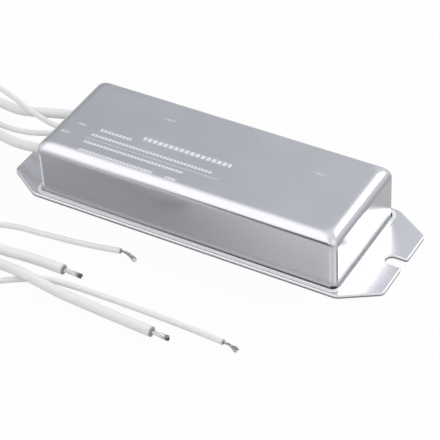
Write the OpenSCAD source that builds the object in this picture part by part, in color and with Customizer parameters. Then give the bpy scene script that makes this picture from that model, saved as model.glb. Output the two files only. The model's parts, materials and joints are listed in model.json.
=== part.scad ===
// Aluminium housed power resistor with a built-in thermal switch.
// A pressed aluminium hat with two slotted ears holds a mica card wound with resistance
// ribbon and a bimetal switch, all potted in cement. Two power leads and two thinner
// switch leads leave the left end through a rubber bush and end stripped.
// Origin: centre of the case on the mounting surface. X runs along the case, +Z is up.

/* [Case] */
// Length of the pressed case over its end walls
case_l = 104; // [96:1:116]
// Width of the pressed case over its long walls
case_w = 39; // [37:0.5:44]
// Height of the case above the mounting surface
case_h = 20; // [19:0.5:24]
// Thickness of the aluminium sheet
sheet = 1.2; // [1:0.1:1.5]
// Outside radius of the top edges
top_r = 3.6; // [3:0.2:4.4]
// Outside radius of the upright corners
corner_r = 2; // [1.6:0.1:3]
// Inside radius between wall and flange
foot_r = 0.8; // [0.6:0.1:1.2]

/* [Flange and ears] */
// Length over both ears
overall_l = 130; // [126:1:140]
// Width of the flange
flange_w = 43.5; // [42:0.5:50]
// Width across the end of an ear, before its corners are rounded
ear_w = 28.6; // [24:0.2:34]
// How far past the end wall the taper of an ear starts
taper_gap = 1.2; // [0.6:0.2:3]
// Corner radius where the taper starts
taper_r = 4; // [3:0.5:9]
// Corner radius at the end of an ear
ear_r = 2; // [1.5:0.5:5]
// Distance between the two mounting slots
slot_pitch = 122; // [118:1:124]
// Width of a mounting slot, for M4 screws
slot_w = 4.2; // [4:0.1:4.5]
// Radius that eases the mouth corners of a slot
mouth_r = 0.8; // [0.4:0.1:1.2]
// Width of the land that the draw die leaves round the foot of the walls
land_w = 1.75; // [1.2:0.05:2]
// Height of that land above the flange
land_h = 0.12; // [0.1:0.02:0.2]

/* [Leads] */
// Outside diameter of a power lead
power_d = 3.2; // [2.8:0.1:3.4]
// Outside diameter of a switch lead
switch_d = 1.8; // [1.6:0.1:2]
// Distance of each power lead from the middle of the end wall
power_y = 9.8; // [9:0.2:10.4]
// Distance of each switch lead from the middle of the end wall
switch_y = 1.6; // [1.4:0.1:2]
// Height of the leads where they leave the end wall
exit_z = 9.6; // [9.2:0.2:10.2]
// Diameter of the stranded core of a power lead
power_core_d = 1.3; // [1:0.1:1.5]
// Diameter of the stranded core of a switch lead
switch_core_d = 0.8; // [0.6:0.05:0.9]

/* [Wound element] */
// Length of the mica card that carries the ribbon
card_l = 84; // [80:1:86]
// Width of the mica card
card_w = 25; // [22:0.5:27]
// Thickness of the mica card
card_t = 0.8; // [0.6:0.1:1]
// Number of turns of resistance ribbon
turns = 56; // [30:1:56]
// Distance from one turn to the next
turn_pitch = 1.25; // [1.1:0.05:1.25]
// Width of the ribbon
ribbon_w = 0.7; // [0.5:0.05:0.8]
// Thickness of the ribbon
ribbon_t = 0.2; // [0.15:0.05:0.25]
// Height of the middle of the card above the mounting surface
card_z = 15.6; // [15:0.1:16]

/* [Thermal switch] */
// Length of the switch can
can_l = 20; // [16:1:22]
// Width of the can
can_w = 8.4; // [7:0.2:9]
// Height of the can
can_h = 5; // [4.6:0.2:5.6]
// Thickness of the can's sheet
can_wall = 0.4; // [0.3:0.1:0.6]

/* [Hidden] */

$fn = 48;
cut = 1;

aluminium = [0.72, 0.74, 0.77];
cement = [0.62, 0.60, 0.56];
mica = [0.80, 0.72, 0.58];
nichrome = [0.55, 0.53, 0.50];
tinned = [0.78, 0.78, 0.76];
steel = [0.62, 0.63, 0.65];
bimetal = [0.70, 0.64, 0.52];
silver = [0.85, 0.85, 0.84];
silicone = [0.93, 0.92, 0.88];
rubber = [0.84, 0.83, 0.80];
phenolic = [0.30, 0.20, 0.15];
glass_braid = [0.90, 0.88, 0.80];
tie_white = [0.95, 0.95, 0.93];

// Steps of arc in the lofted case
corner_steps = 6;
top_steps = 8;
foot_steps = 4;
// How much the plan corners open as the top edge turns over
corner_growth = 0.5;
inner_corner_r = corner_r - sheet;
inner_top_r = top_r - sheet;
fillet_z = case_h - top_r;
// The cement stops a little short of the mounting surface, so the case seats on metal
cement_z = 0.5;

slot_x = slot_pitch / 2;
ear_x = overall_l / 2;
taper_x = case_l / 2 + taper_gap;
// Angle that the outline turns through where an ear starts to taper
taper_turn = atan((flange_w - ear_w) / 2 / (ear_x - taper_x));

// Opening in the left end wall, and the bush that fills it
window_w = 26;
window_h = 6.4;
bush_lip = 1.2;
wall_x = -case_l / 2;
bush_out_x = wall_x - bush_lip;
bush_in_x = wall_x + sheet + bush_lip;

// The wound element, whose card lies a little off the middle of the case
card_x = 2;
card_top = card_z + card_t / 2;
card_bottom = card_z - card_t / 2;
cover_l = 74;
cover_w = 28;
cover_t = 0.5;
notch_depth = 0.8;
notch_w = ribbon_w + 0.1;
wound_y = card_w / 2 - notch_depth;
first_turn_x = card_x - turns * turn_pitch / 2;

// Splices, measured from where each one starts
splice_l = 5.2;
splice_r = 1.4;
splice_1_x = -47.6;
splice_2_x = 39.2;
joint_in = 2.4;
bare_l = 1;
crimp_r = 1;
crimp_depth = 0.3;
sleeve_over = 0.6;
sleeve_t = 0.4;

// Terminals: a tab riveted under the card, a leg down and a foot into the splice
tab_w = 4;
tab_t = 0.4;
tab_l = 5.1;
foot_w = 1.8;
leg_x = 6;
eyelet_x = 3.4;
eyelet_r = 0.9;
eyelet_bore_r = 0.5;
eyelet_head_r = 1.5;
eyelet_head_t = 0.3;

// Thermal switch, measured from the mouth of its can
can_x = -28;
can_r = 1;
plug_l = 3;
arm_w = 2.4;
arm_t = 0.3;
arm_tail_w = 1.6;
arm_tail_l = 4.6;
arm_l = 17;
pad_l = 4;
jog_x = 3.6;
contact_x = 15;
contact_r = 0.9;
contact_h = 0.7;
core_on_arm = 3.2;
power_r = power_d / 2;
switch_r = switch_d / 2;
arm_z = exit_z - switch_core_d / 2 - arm_t;
bimetal_z = arm_z + arm_t + 2 * contact_h;
switch_sleeve_t = 0.3;
switch_sleeve_x = can_x - 7.4;
switch_sleeve_l = can_l + 8;

// Free leads: the points along each route that is not coiled, chosen by hand
power_1_run = [
    [-53.2, 9.8, 9.6], [-60, 8.7, 9.1], [-66, 8.2, 8], [-72, 8, 6.5], [-79, 9, 4.4],
    [-87, 11.6, 2.4], [-97, 13.4, 1.6], [-107, 11.6, 1.6], [-116, 4.6, 1.6],
    [-121.4, -5, 1.6], [-123.4, -15, 1.6], [-123.6, -22.9, 1.6]
];
power_2_run = [
    [-53.2, -9.8, 9.6], [-59, -10.3, 9.2], [-66, -9.2, 7.5], [-72, -7, 5.7], [-78, -4.3, 3.9],
    [-87, -1.7, 2], [-98, -2.2, 1.6], [-108, -6.6, 1.6], [-115.4, -15, 1.6]
];
switch_1_run = [
    [-53.2, 1.6, 9.6], [-60, 2.1, 9.4], [-66, 3.8, 9], [-72, 5.8, 8.8], [-79, 9.1, 8.1],
    [-85, 11.8, 7.4], [-92, 14.9, 6], [-101, 18.2, 3], [-111, 18.6, 0.9], [-123, 12.6, 0.9],
    [-132, 0, 0.9], [-135.9, -16, 0.9], [-135.9, -58.1, 0.9]
];
switch_2_run = [
    [-53.2, -1.6, 9.6], [-59, -1.9, 9], [-64, -2.2, 7.7], [-70, -1.4, 5.7], [-76, 0.1, 3.8],
    [-83, 2.4, 1.9], [-94, 5.4, 0.9], [-104, 6.6, 1.9], [-111, 6.2, 4], [-117, 4.4, 4.8],
    [-123, 1, 3.6], [-129, -5, 1.5], [-133, -14, 0.9], [-134.1, -28, 0.9],
    [-134.1, -55.9, 0.9]
];
power_1_end = [
    [-94, -52.6, 8], [-86, -52.6, 6.2], [-78, -52.8, 3.6], [-69, -53.4, 1.8],
    [-60, -54.3, 1.6], [-51, -55, 1.7], [-42.4, -55.5, 2.4], [-34.2, -56.8, 3.5],
    [-26.5, -57.6, 3.1], [-19.5, -57.8, 2], [-12, -58, 1.6], [1, -58.8, 1.6],
    [13, -59.4, 1.6]
];
power_2_end = [
    [-95, -49.4, 11.2], [-90, -49.4, 11.2], [-84, -49.4, 10.2], [-77, -49.4, 7],
    [-70, -49.4, 3.6], [-63, -49.4, 1.7], [-47, -49.2, 1.6], [-34.5, -48.3, 1.6],
    [-24.5, -48.3, 1.6]
];
switch_1_end = [
    [-119.9, -73.9, 6.3], [-112, -73.9, 4.6], [-103, -73.6, 1.9], [-94, -73, 0.9],
    [-65, -70.4, 0.9], [-52, -67.6, 0.9], [-44, -63.6, 0.9], [-34.2, -57.2, 0.9],
    [-27.6, -53.9, 0.9], [-20, -52.8, 0.9], [-9, -52.4, 0.9], [23, -52.7, 0.9],
    [33, -53.2, 0.9]
];
switch_2_end = [
    [-116.8, -67.4, 8.1], [-114.9, -66.1, 8.1], [-108, -62.2, 6], [-99, -59.4, 2.7],
    [-90, -58.8, 0.9], [-74, -58.8, 1.6], [-67, -57.4, 3.8], [-62.6, -54, 4.6],
    [-60.2, -49.4, 4.6], [-58.4, -44.6, 3], [-55.4, -40.2, 1.3], [-50, -37.9, 0.9],
    [-40.5, -36.8, 0.9], [-24.2, -34.8, 0.9], [-14.2, -32.8, 0.9]
];
power_1_bare = [[13, -59.4, 1.6], [19, -59.7, 1.6]];
power_2_bare = [[-24.5, -48.3, 1.6], [-18, -48.3, 1.6]];
switch_1_bare = [[33, -53.2, 0.9], [35, -53.3, 0.9], [38.4, -54.4, 0.9]];
switch_2_bare = [[-14.2, -32.8, 0.9], [-13.2, -32.6, 0.9], [-11.2, -32.9, 0.9], [-8, -34.5, 0.9]];
tube_sides = 8;

// The lengths put away beside the case, each coil holding the two leads of one pair
power_coil_at = [-105, -34];
power_coil_r = 17;
power_turns = [4, 3];
power_tie_turn = 215;
switch_coil_at = [-126, -64];
switch_coil_r = 9;
switch_turns = [5, 4];
switch_tie_turn = 225;
tie_t = 0.4;
tie_w = 3;

// Corner points of a rounded rectangle with half sizes a and b and corner radius r
function plan_ring(a, b, r, z) = [
    for (q = [0 : 3])
        let (sx = q == 0 || q == 3 ? 1 : -1, sy = q < 2 ? 1 : -1)
            for (i = [0 : corner_steps])
                let (t = 90 * q + 90 * i / corner_steps)
                    [sx * (a - r) + r * cos(t), sy * (b - r) + r * sin(t), z]
];

// A closed skin over rings that all have n points, with flat ends
module skin(rings) {
    n = len(rings[0]);
    m = len(rings);
    polyhedron(
        points = [for (ring = rings) each ring],
        faces = concat(
            [[for (i = [0 : n - 1]) i]],
            [for (k = [0 : m - 2], i = [0 : n - 1])
                [k * n + i, (k + 1) * n + i, (k + 1) * n + (i + 1) % n]],
            [for (k = [0 : m - 2], i = [0 : n - 1])
                [k * n + i, (k + 1) * n + (i + 1) % n, k * n + (i + 1) % n]],
            [[for (i = [n - 1 : -1 : 0]) (m - 1) * n + i]]
        )
    );
}

// The case loft from [inset, height, corner radius] stations
module case_loft(stations) {
    skin([for (s = stations) plan_ring(case_l / 2 - s[0], case_w / 2 - s[0], s[2], s[1])]);
}

function foot_arc(r, inset) = [
    for (i = [0 : foot_steps])
        let (t = 90 * i / foot_steps)
            [inset - r * (1 - sin(t)), sheet + foot_r - r * cos(t),
             corner_r - inset + r * (1 - sin(t))]
];

function top_arc(r, inset, corner) = [
    for (i = [0 : top_steps])
        let (t = 90 * i / top_steps, s = r * (1 - cos(t)))
            [inset + s, fillet_z + r * sin(t), corner + corner_growth * s]
];

outer_stations = concat(
    [[-foot_r, sheet / 2, corner_r + foot_r]],
    foot_arc(foot_r, 0),
    top_arc(top_r, 0, corner_r)
);
inner_stations = concat(
    [[-foot_r, -cut, corner_r + foot_r]],
    foot_arc(foot_r + sheet, sheet),
    top_arc(inner_top_r, sheet, inner_corner_r)
);

// The outline of the flange: arcs at the eight corners, joined by their tangent lines
module flange_outline() {
    side = [taper_x - taper_r * tan(taper_turn / 2), flange_w / 2 - taper_r];
    end = [ear_x - ear_r, ear_w / 2 - ear_r * tan((90 - taper_turn) / 2)];
    way = [sin(taper_turn), cos(taper_turn)];
    quarter = [
        [side[0], flange_w / 2], side + taper_r * way, end + ear_r * way, [ear_x, end[1]]
    ];
    for (sx = [-1, 1], sy = [-1, 1])
        scale([sx, sy]) {
            polygon(concat([[0, 0], [0, flange_w / 2]], quarter, [[ear_x, 0]]));
            translate(side)
                circle(taper_r);
            translate(end)
                circle(ear_r);
        }
}

module slot_cut() {
    mouth = slot_w / 2 + mouth_r;
    for (side = [-1, 1])
        scale([side, 1, 1]) {
            translate([slot_x, 0, -cut])
                cylinder(h = sheet + 2 * cut, r = slot_w / 2);
            translate([slot_x, -slot_w / 2, -cut])
                cube([ear_x - slot_x + cut, slot_w, sheet + 2 * cut]);
            // The mouth corners are eased: a square notch less two discs
            translate([0, 0, -cut])
                difference() {
                    translate([ear_x - mouth_r, -mouth, 0])
                        cube([mouth_r + cut, 2 * mouth, sheet + 2 * cut]);
                    for (sy = [-1, 1])
                        translate([ear_x - mouth_r, sy * mouth, -cut])
                            cylinder(h = sheet + 4 * cut, r = mouth_r);
                }
        }
}

// The opening for the bush, as a slot with round ends along Y
module window_slot(x, length, grow = 0) {
    half = window_w / 2 - window_h / 2;
    r = window_h / 2 + grow;
    translate([x, 0, exit_z])
        rotate([0, 90, 0]) {
            for (sy = [-1, 1])
                translate([0, sy * half, 0])
                    cylinder(h = length, r = r);
            translate([-r, -half, 0])
                cube([2 * r, 2 * half, length]);
        }
}

module housing() {
    color(aluminium)
        difference() {
            union() {
                linear_extrude(sheet)
                    flange_outline();
                case_loft(outer_stations);
                case_loft([
                    [-land_w, sheet / 2, corner_r + land_w],
                    [-land_w, sheet + land_h, corner_r + land_w]
                ]);
            }
            case_loft(inner_stations);
            slot_cut();
            window_slot(wall_x - cut, sheet + 2 * cut);
        }
}

// A round bar along X
module bar(x, y, length, r) {
    translate([x, y, exit_z])
        rotate([0, 90, 0])
            cylinder(h = length, r = r);
}

module lead_bars(x, length) {
    for (s = [-1, 1]) {
        bar(x, s * power_y, length, power_r);
        bar(x, s * switch_y, length, switch_r);
    }
}

module lead_bush() {
    color(rubber)
        difference() {
            union() {
                window_slot(bush_out_x, bush_lip, bush_lip);
                window_slot(wall_x, sheet);
                window_slot(wall_x + sheet, bush_lip, bush_lip);
            }
            lead_bars(bush_out_x - cut, bush_in_x - bush_out_x + 2 * cut);
        }
}

// Everything inside the cement, as the space that it takes
module element_space() {
    translate([card_x - card_l / 2, -cover_w / 2, card_bottom - ribbon_t - cover_t])
        cube([card_l, cover_w, card_t + 2 * ribbon_t + 2 * cover_t]);
}

module joint_space(x, y, way) {
    bar(x - sleeve_over, y, splice_l + 2 * sleeve_over, splice_r + sleeve_t);
    bar(x - bare_l, y, bare_l, power_core_d / 2);
    terminal_shape(x, y, way, 0);
}

module potting() {
    color(cement)
        difference() {
            intersection() {
                case_loft(inner_stations);
                translate([-case_l / 2, -case_w / 2, cement_z])
                    cube([case_l, case_w, case_h]);
            }
            window_slot(wall_x, sheet + bush_lip, bush_lip);
            element_space();
            joint_space(splice_1_x, power_y, 1);
            joint_space(splice_2_x, -power_y, -1);
            bar(bush_in_x, power_y, splice_1_x - bare_l - bush_in_x, power_r);
            bar(bush_in_x, -power_y, splice_2_x - bare_l - bush_in_x, power_r);
            for (s = [-1, 1])
                bar(bush_in_x, s * switch_y, switch_sleeve_x - bush_in_x, switch_r);
            can_bar(switch_sleeve_x, switch_sleeve_l, switch_sleeve_t);
        }
}

// Mica card with a notch for each turn on both edges and a hole for each eyelet
module mica_card() {
    color(mica)
        translate([0, 0, card_bottom])
            linear_extrude(card_t)
                difference() {
                    translate([card_x - card_l / 2, -card_w / 2])
                        square([card_l, card_w]);
                    for (i = [0 : turns - 1])
                        edge_notch(i, -1);
                    for (i = [1 : turns])
                        edge_notch(i, 1);
                    for (e = eyelet_places)
                        translate(e)
                            circle(eyelet_r);
                }
}

module edge_notch(i, side) {
    translate([first_turn_x + i * turn_pitch, side * (wound_y + card_w / 2)])
        square([notch_w, card_w], center = true);
}

// Where the eyelets sit: one at each end of the card, at its own lead
eyelet_places = [
    [splice_1_x + leg_x + eyelet_x, power_y],
    [splice_2_x + leg_x + tab_t - eyelet_x, -power_y]
];

// Section of the ribbon at x, on the side sy and face sz of the card, mitred at the corner
function ribbon_ring(x, y, sy, sz) = [
    for (c = [[-1, 0], [1, 0], [1, 1], [-1, 1]])
        [x + c[0] * ribbon_w / 2, y + sy * c[1] * ribbon_t, card_z + sz * (card_t / 2 + c[1] * ribbon_t)]
];

module resistance_ribbon() {
    last_x = first_turn_x + turns * turn_pitch;
    color(nichrome) {
        skin(concat(
            [ribbon_ring(first_turn_x, power_y, 0, 1)],
            [for (i = [0 : turns - 1], k = [0 : 3])
                let (x = first_turn_x + (k < 2 ? i : i + 1) * turn_pitch, sy = k < 2 ? -1 : 1)
                    ribbon_ring(x, sy * wound_y, sy, k == 0 || k == 3 ? 1 : -1)],
            [ribbon_ring(last_x, -power_y, 0, 1)]
        ));
        ribbon_tail(eyelet_places[0], first_turn_x);
        ribbon_tail(eyelet_places[1], last_x);
    }
}

// The ribbon's end: along the card to an eye that the eyelet clamps
module ribbon_tail(eye, turn_x) {
    way = sign(turn_x - eye[0]);
    translate([0, 0, card_top])
        linear_extrude(ribbon_t)
            difference() {
                union() {
                    translate(eye)
                        circle(eyelet_head_r);
                    translate([min(eye[0], turn_x - ribbon_w / 2), eye[1] - ribbon_w / 2])
                        square([abs(turn_x - eye[0]) + ribbon_w / 2, ribbon_w]);
                }
                translate(eye)
                    circle(eyelet_r);
            }
}

module mica_cover(z) {
    color(mica)
        translate([card_x - cover_l / 2, -cover_w / 2, z])
            cube([cover_l, cover_w, cover_t]);
}

module mica_cover_upper() {
    mica_cover(card_top + ribbon_t);
}

module mica_cover_lower() {
    mica_cover(card_bottom - ribbon_t - cover_t);
}

// A terminal for the splice that starts at x: way is the side of the leg its tab lies on
module terminal_shape(x, y, way, hole_r) {
    leg = x + leg_x;
    tab_x = way > 0 ? leg : leg + tab_t - tab_l;
    difference() {
        union() {
            translate([tab_x, y - tab_w / 2, card_bottom - tab_t])
                cube([tab_l, tab_w, tab_t]);
            translate([leg, y - foot_w / 2, exit_z - tab_t / 2])
                cube([tab_t, foot_w, card_bottom - exit_z + tab_t / 2]);
            translate([x + splice_l - joint_in, y - foot_w / 2, exit_z - tab_t / 2])
                cube([leg + tab_t - x - splice_l + joint_in, foot_w, tab_t]);
        }
        if (hole_r > 0)
            for (e = eyelet_places)
                translate([e[0], e[1], card_bottom - tab_t - cut])
                    cylinder(h = tab_t + 2 * cut, r = hole_r);
    }
}

module terminal_1() {
    color(tinned)
        terminal_shape(splice_1_x, power_y, 1, eyelet_r);
}

module terminal_2() {
    color(tinned)
        terminal_shape(splice_2_x, -power_y, -1, eyelet_r);
}

// Tubular rivets that clamp the ribbon's eye, the card and the tab
module terminal_eyelets() {
    grip = tab_t + card_t + ribbon_t;
    color(tinned)
        for (e = eyelet_places)
            translate([e[0], e[1], card_bottom - tab_t])
                difference() {
                    union() {
                        translate([0, 0, -eyelet_head_t])
                            cylinder(h = eyelet_head_t, r = eyelet_head_r);
                        cylinder(h = grip, r = eyelet_r);
                        translate([0, 0, grip])
                            cylinder(h = eyelet_head_t, r = eyelet_head_r);
                    }
                    translate([0, 0, -cut])
                        cylinder(h = grip + 2 * cut, r = eyelet_bore_r);
                }
}

// Butt splice: a barrel with a bore for the core, a slot for the foot and two crimps
module power_splice(x, y) {
    color(tinned)
        difference() {
            bar(x, y, splice_l, splice_r);
            bar(x - cut, y, joint_in + cut, power_core_d / 2);
            translate([x + splice_l - joint_in, y - foot_w / 2, exit_z - tab_t / 2])
                cube([joint_in + cut, foot_w, tab_t]);
            for (at = [joint_in / 2, splice_l - joint_in / 2])
                translate([x + at, y - splice_r - cut, exit_z + splice_r + crimp_r - crimp_depth])
                    rotate([-90, 0, 0])
                        cylinder(h = 2 * splice_r + 2 * cut, r = crimp_r);
        }
}

module power_splice_1() {
    power_splice(splice_1_x, power_y);
}

module power_splice_2() {
    power_splice(splice_2_x, -power_y);
}

module splice_sleeve(x, y) {
    color(glass_braid)
        difference() {
            bar(x - sleeve_over, y, splice_l + 2 * sleeve_over, splice_r + sleeve_t);
            bar(x - sleeve_over - cut, y, splice_l + 2 * sleeve_over + 2 * cut, splice_r);
        }
}

module splice_sleeve_1() {
    splice_sleeve(splice_1_x, power_y);
}

module splice_sleeve_2() {
    splice_sleeve(splice_2_x, -power_y);
}

// A bar along X with the rounded section of the can, grown by grow on every side
module can_bar(x, length, grow) {
    w = can_w + 2 * grow;
    h = can_h + 2 * grow;
    r = can_r + grow;
    translate([x, 0, exit_z])
        rotate([90, 0, 90])
            linear_extrude(length) {
                square([w - 2 * r, h], center = true);
                square([w, h - 2 * r], center = true);
                for (sx = [-1, 1], sy = [-1, 1])
                    translate([sx * (w / 2 - r), sy * (h / 2 - r)])
                        circle(r);
            }
}

module switch_can() {
    color(steel)
        difference() {
            can_bar(can_x, can_l, 0);
            can_bar(can_x - cut, can_l + cut - can_wall, -can_wall);
        }
}

module switch_plug() {
    color(phenolic)
        difference() {
            can_bar(can_x, plug_l, -can_wall);
            for (s = [-1, 1])
                arm_tail(s);
        }
}

// The part of either arm that passes through the plug
module arm_tail(side) {
    translate([can_x - arm_tail_l, side * switch_y - arm_tail_w / 2, arm_z])
        cube([arm_tail_l + plug_l + arm_tail_w / 2, arm_tail_w, arm_t]);
}

// The blade of an arm inside the can, with a pad across the middle under its contact
module arm_blade(side, from, z) {
    inner = switch_y - arm_w / 2;
    outer = switch_y + arm_w / 2;
    translate([can_x + from, side > 0 ? inner : -outer, z])
        cube([arm_l - from, arm_w, arm_t]);
    translate([can_x + arm_l - pad_l, side > 0 ? -contact_r : -outer, z])
        cube([pad_l, outer + contact_r, arm_t]);
}

module switch_fixed_arm() {
    color(steel) {
        arm_tail(1);
        arm_blade(1, plug_l, arm_z);
    }
}

module switch_bimetal_arm() {
    color(bimetal) {
        arm_tail(-1);
        translate([can_x + jog_x, -switch_y - arm_tail_w / 2, arm_z])
            cube([arm_t, arm_tail_w, bimetal_z + arm_t - arm_z]);
        arm_blade(-1, jog_x, bimetal_z);
    }
}

module switch_contact(z) {
    color(silver)
        translate([can_x + contact_x, 0, z])
            cylinder(h = contact_h, r = contact_r);
}

module switch_contact_fixed() {
    switch_contact(arm_z + arm_t);
}

module switch_contact_moving() {
    switch_contact(arm_z + arm_t + contact_h);
}

module switch_sleeve() {
    color(glass_braid)
        difference() {
            can_bar(switch_sleeve_x, switch_sleeve_l, switch_sleeve_t);
            can_bar(switch_sleeve_x - cut, switch_sleeve_l + 2 * cut, 0);
        }
}

// Inner tails of the leads, from the outer face of the bush to their joints
module tail(y, end_x, r) {
    color(silicone)
        bar(bush_out_x, y, end_x - bush_out_x, r);
}

module power_tail_1() {
    tail(power_y, splice_1_x - bare_l, power_r);
}

module power_tail_2() {
    tail(-power_y, splice_2_x - bare_l, power_r);
}

module switch_tail_1() {
    tail(switch_y, can_x - arm_tail_l - bare_l, switch_r);
}

module switch_tail_2() {
    tail(-switch_y, can_x - arm_tail_l - bare_l, switch_r);
}

module power_inner_core_1() {
    color(tinned)
        bar(splice_1_x - bare_l, power_y, bare_l + joint_in, power_core_d / 2);
}

module power_inner_core_2() {
    color(tinned)
        bar(splice_2_x - bare_l, -power_y, bare_l + joint_in, power_core_d / 2);
}

module switch_inner_core(y) {
    color(tinned)
        bar(can_x - arm_tail_l - bare_l, y, bare_l + core_on_arm, switch_core_d / 2);
}

module switch_inner_core_1() {
    switch_inner_core(switch_y);
}

module switch_inner_core_2() {
    switch_inner_core(-switch_y);
}

// Ring of a tube round the point p of a route that runs along t there
function tube_ring(p, t, r) =
    let (way = t / norm(t), side = cross([0, 0, 1], way), s = side / norm(side), u = cross(way, s))
        [for (i = [0 : tube_sides - 1])
            let (a = 360 * (i + 0.5) / tube_sides)
                p + r * (cos(a) * s + sin(a) * u)];

// A plain tube swept along a route; its first end faces along X where it leaves the bush
module tube(route, r) {
    n = len(route);
    skin([
        for (k = [0 : n - 1])
            let (
                before = route[max(k - 1, 0)],
                after = route[min(k + 1, n - 1)],
                flat_start = k == 0 && route[0][0] == bush_out_x
            )
                tube_ring(route[k], flat_start ? [-1, 0, 0] : after - before, r)
    ]);
}

module power_lead_1_run() {
    color(silicone)
        tube(power_1_run, power_r);
}

module power_lead_2_run() {
    color(silicone)
        tube(power_2_run, power_r);
}

module switch_lead_1_run() {
    color(silicone)
        tube(switch_1_run, switch_r);
}

module switch_lead_2_run() {
    color(silicone)
        tube(switch_2_run, switch_r);
}

module power_lead_1_end() {
    color(silicone)
        tube(power_1_end, power_r);
}

module power_lead_2_end() {
    color(silicone)
        tube(power_2_end, power_r);
}

module switch_lead_1_end() {
    color(silicone)
        tube(switch_1_end, switch_r);
}

module switch_lead_2_end() {
    color(silicone)
        tube(switch_2_end, switch_r);
}

module power_core_1() {
    color(tinned)
        tube(power_1_bare, power_core_d / 2);
}

module power_core_2() {
    color(tinned)
        tube(power_2_bare, power_core_d / 2);
}

module switch_core_1() {
    color(tinned)
        tube(switch_1_bare, switch_core_d / 2);
}

module switch_core_2() {
    color(tinned)
        tube(switch_2_bare, switch_core_d / 2);
}

// Section of a coil where its two leads meet at radius r: inner stack, then outer stack
module coil_section(r, d, turns, which) {
    translate([which == 0 ? r - d : r, 0])
        square([d, turns[which] * d]);
}

// One lead's turns as a plain ring, with the tie pressed in under them
module coil(at, r, d, turns, which, tie_turn) {
    color(silicone)
        difference() {
            translate([at[0], at[1], 0])
                rotate_extrude()
                    coil_section(r, d, turns, which);
            coil_tie(at, r, d, turns, tie_turn);
        }
}

// A strap round both stacks, lying on the mounting surface and drawn over their two heights
module coil_tie(at, r, d, turns, tie_turn) {
    inner_h = turns[0] * d + tie_t;
    outer_h = turns[1] * d + tie_t;
    outline = [
        [r - d, tie_t], [r + d, tie_t], [r + d, outer_h], [r, inner_h], [r - d, inner_h]
    ];
    outside = [
        [r - d - tie_t, 0], [r + d + tie_t, 0], [r + d + tie_t, outer_h + tie_t],
        [r + tie_t / 2, inner_h + tie_t], [r - d - tie_t, inner_h + tie_t]
    ];
    translate([at[0], at[1], 0])
        rotate([0, 0, tie_turn])
            rotate([90, 0, 0])
                linear_extrude(tie_w, center = true)
                    difference() {
                        polygon(outside);
                        polygon(outline);
                    }
}

module power_lead_1_coil() {
    coil(power_coil_at, power_coil_r, power_d, power_turns, 1, power_tie_turn);
}

module power_lead_2_coil() {
    coil(power_coil_at, power_coil_r, power_d, power_turns, 0, power_tie_turn);
}

module switch_lead_1_coil() {
    coil(switch_coil_at, switch_coil_r, switch_d, switch_turns, 1, switch_tie_turn);
}

module switch_lead_2_coil() {
    coil(switch_coil_at, switch_coil_r, switch_d, switch_turns, 0, switch_tie_turn);
}

module power_coil_tie() {
    color(tie_white)
        coil_tie(power_coil_at, power_coil_r, power_d, power_turns, power_tie_turn);
}

module switch_coil_tie() {
    color(tie_white)
        coil_tie(switch_coil_at, switch_coil_r, switch_d, switch_turns, switch_tie_turn);
}

housing();
potting();
lead_bush();
mica_card();
resistance_ribbon();
mica_cover_upper();
mica_cover_lower();
terminal_1();
terminal_2();
terminal_eyelets();
power_splice_1();
power_splice_2();
splice_sleeve_1();
splice_sleeve_2();
switch_can();
switch_plug();
switch_fixed_arm();
switch_bimetal_arm();
switch_contact_fixed();
switch_contact_moving();
switch_sleeve();
power_tail_1();
power_tail_2();
switch_tail_1();
switch_tail_2();
power_inner_core_1();
power_inner_core_2();
switch_inner_core_1();
switch_inner_core_2();
power_lead_1_run();
power_lead_2_run();
switch_lead_1_run();
switch_lead_2_run();
power_lead_1_coil();
power_lead_2_coil();
switch_lead_1_coil();
switch_lead_2_coil();
power_lead_1_end();
power_lead_2_end();
switch_lead_1_end();
switch_lead_2_end();
power_core_1();
power_core_2();
switch_core_1();
switch_core_2();
power_coil_tie();
switch_coil_tie();
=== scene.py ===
"""Aluminium housed power resistor: a pressed case with slotted ears, filled with cement,
and four insulated leads wound into two coils beside it."""

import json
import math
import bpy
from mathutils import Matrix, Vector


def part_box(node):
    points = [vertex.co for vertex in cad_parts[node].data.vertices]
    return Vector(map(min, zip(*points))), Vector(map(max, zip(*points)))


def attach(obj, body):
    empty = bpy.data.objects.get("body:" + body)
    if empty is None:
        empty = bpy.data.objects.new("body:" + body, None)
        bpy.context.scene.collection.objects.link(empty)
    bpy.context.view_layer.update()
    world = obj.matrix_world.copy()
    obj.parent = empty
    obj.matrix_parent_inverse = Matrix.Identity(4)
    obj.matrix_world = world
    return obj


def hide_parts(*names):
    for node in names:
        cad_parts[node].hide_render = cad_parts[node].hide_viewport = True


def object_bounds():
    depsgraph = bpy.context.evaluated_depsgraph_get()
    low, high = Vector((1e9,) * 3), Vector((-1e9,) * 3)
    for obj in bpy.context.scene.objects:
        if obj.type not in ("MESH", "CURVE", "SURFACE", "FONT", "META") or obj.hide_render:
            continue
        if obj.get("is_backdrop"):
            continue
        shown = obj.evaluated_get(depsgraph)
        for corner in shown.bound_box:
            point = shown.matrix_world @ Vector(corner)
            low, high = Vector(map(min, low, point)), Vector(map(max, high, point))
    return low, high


bl_info = {
    "name": "Housed Power Resistor",
    "version": (1, 0, 0),
    "blender": (4, 5, 0),
    "location": "3D View > Sidebar > Resistor",
    "description": "Builds a pressed aluminium resistor case with its leads, bush and filling",
    "category": "Add Mesh",
}

from functools import partialmethod, reduce

import bmesh
import bpy
from bpy.props import FloatProperty, FloatVectorProperty, IntProperty, PointerProperty
from mathutils import Matrix, Vector
from mathutils.geometry import tessellate_polygon

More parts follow.
